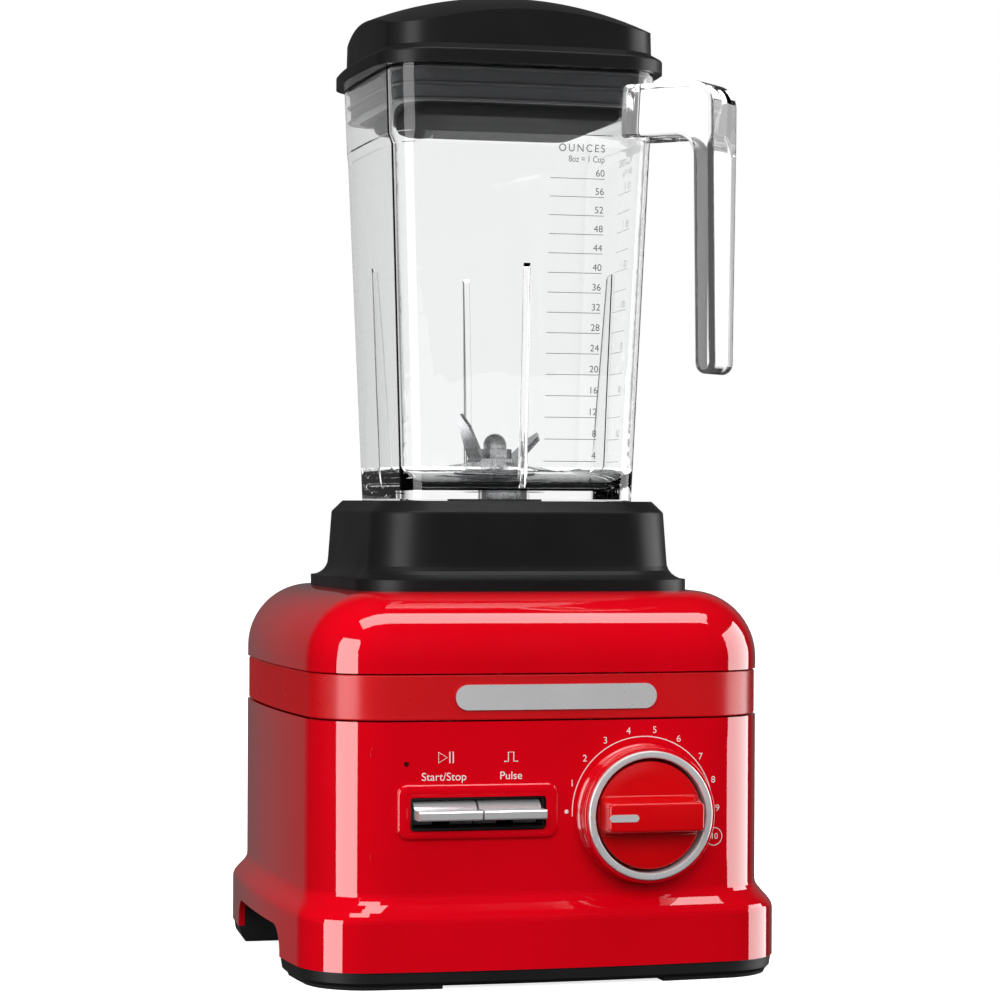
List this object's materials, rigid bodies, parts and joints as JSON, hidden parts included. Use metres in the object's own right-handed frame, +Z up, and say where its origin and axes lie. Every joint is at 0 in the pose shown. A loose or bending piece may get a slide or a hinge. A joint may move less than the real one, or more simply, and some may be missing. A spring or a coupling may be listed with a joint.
{
  "type": "countertop blender",
  "caption": "Countertop blender: square motor base with speed dial and two rocker keys, clear square jar with strap handle on a black collar, bladed hub and domed lid.",
  "frame": {"origin": "under the middle of the blender's box, on the plane of its feet; the drive axis stands 7.3 mm behind it because the dial stands out in front", "axes": "+Z up along the drive axis, -Y towards the front panel, +X to the right of someone facing the panel"},
  "size_m": [0.225, 0.2396, 0.445],
  "materials": {
    "red_enamel": "glossy enamel",
    "band_red": "satin, finely dotted",
    "knob_red": "glossy",
    "satin_black": "satin black",
    "pan_black": "matt black",
    "foot_rubber": "matt rubber",
    "seal_rubber": "soft black rubber",
    "satin_silver": "satin silver",
    "bright_metal": "bright metal",
    "screw_steel": "zinc plated",
    "blade_steel": "stainless",
    "shaft_steel": "ground steel",
    "jar_clear": "clear",
    "board_green": "solder mask",
    "black_nylon": "moulded nylon",
    "lamination_steel": "stacked laminations",
    "copper": "enamelled copper",
    "carbon": "pressed carbon",
    "cast_aluminium": "die cast",
    "bearing_bronze": "sintered bronze",
    "light_amber": "tinted lens"
  },
  "bodies": {
    "base": {"lower_housing": "red_enamel", "upper_cover": "red_enamel", "trim_band": "band_red", "jar_collar": "satin_black", "bottom_pan": "pan_black", "paddle_frame": "pan_black", "rubber_feet": "foot_rubber", "motor_isolators": "foot_rubber", "cord_inlet": "seal_rubber", "dial_ring": "satin_silver", "nameplate": "satin_silver", "casing_screws": "screw_steel", "collar_screws": "screw_steel", "board_screws": "screw_steel", "motor_bolts": "screw_steel", "isolator_screws": "screw_steel", "paddle_pin": "screw_steel", "start_spring": "screw_steel", "pulse_spring": "screw_steel", "encoder_nut": "screw_steel", "upper_bearing": "shaft_steel", "lower_bearing": "shaft_steel", "control_board": "board_green", "start_switch": "black_nylon", "pulse_switch": "black_nylon", "speed_encoder": "black_nylon", "brush_holders": "black_nylon", "fan_duct": "black_nylon", "stator_core": "lamination_steel", "field_coils": "copper", "carbon_brushes": "carbon", "upper_bracket": "cast_aluminium", "lower_bracket": "cast_aluminium", "light_lens": "light_amber"},
    "rotor": {"armature_core": "lamination_steel", "armature_windings": "copper", "commutator": "copper", "motor_shaft": "shaft_steel", "cooling_fan": "black_nylon", "drive_coupler": "cast_aluminium"},
    "knob": {"speed_knob": "knob_red", "knob_pointer": "satin_silver", "encoder_shaft": "shaft_steel"},
    "start_key": {"start_paddle": "bright_metal"},
    "pulse_key": {"pulse_paddle": "bright_metal"},
    "jar": {"jar": "jar_clear", "blade_base": "blade_steel", "jar_gasket": "seal_rubber", "retaining_nut": "black_nylon", "spindle_bearings": "bearing_bronze"},
    "blades": {"spindle": "blade_steel", "jar_coupler": "black_nylon", "lower_blade": "blade_steel", "upper_blade": "blade_steel", "cap_nut": "blade_steel"},
    "lid": {"lid": "satin_black", "lid_plug": "satin_black", "lid_seal": "seal_rubber"}
  },
  "joints": [
    {"name": "rotor_spin", "type": "hinge", "parent": "base", "child": "rotor", "pos_m": [0, 0.0073, 0.1], "axis": [0, 0, 1], "continuous": true},
    {"name": "speed_dial", "type": "hinge", "parent": "base", "child": "knob", "pos_m": [0.041, -0.0927, 0.074], "axis": [0, 1, 0], "range_deg": [0, 204]},
    {"name": "start_press", "type": "hinge", "parent": "base", "child": "start_key", "pos_m": [-0.0341, -0.0877, 0.07605], "axis": [1, 0, 0], "range_deg": [0, 8], "stiffness_Nm_per_rad": 0.4, "springref_deg": -6.88},
    {"name": "pulse_press", "type": "hinge", "parent": "base", "child": "pulse_key", "pos_m": [-0.0341, -0.0877, 0.07605], "axis": [1, 0, 0], "range_deg": [0, 8], "stiffness_Nm_per_rad": 0.4, "springref_deg": -6.88},
    {"name": "jar_lift", "type": "slide", "parent": "base", "child": "jar", "axis": [0, 0, 1], "range_m": [0, 0.06]},
    {"name": "blade_spin", "type": "hinge", "parent": "jar", "child": "blades", "pos_m": [0, 0.0073, 0.229], "axis": [0, 0, 1], "continuous": true},
    {"name": "lid_lift", "type": "slide", "parent": "jar", "child": "lid", "axis": [0, 0, 1], "range_m": [0, 0.05]}
  ],
  "couplings": [
    {"joint": "blade_spin", "follows": "rotor_spin", "ratio": 1}
  ]
}
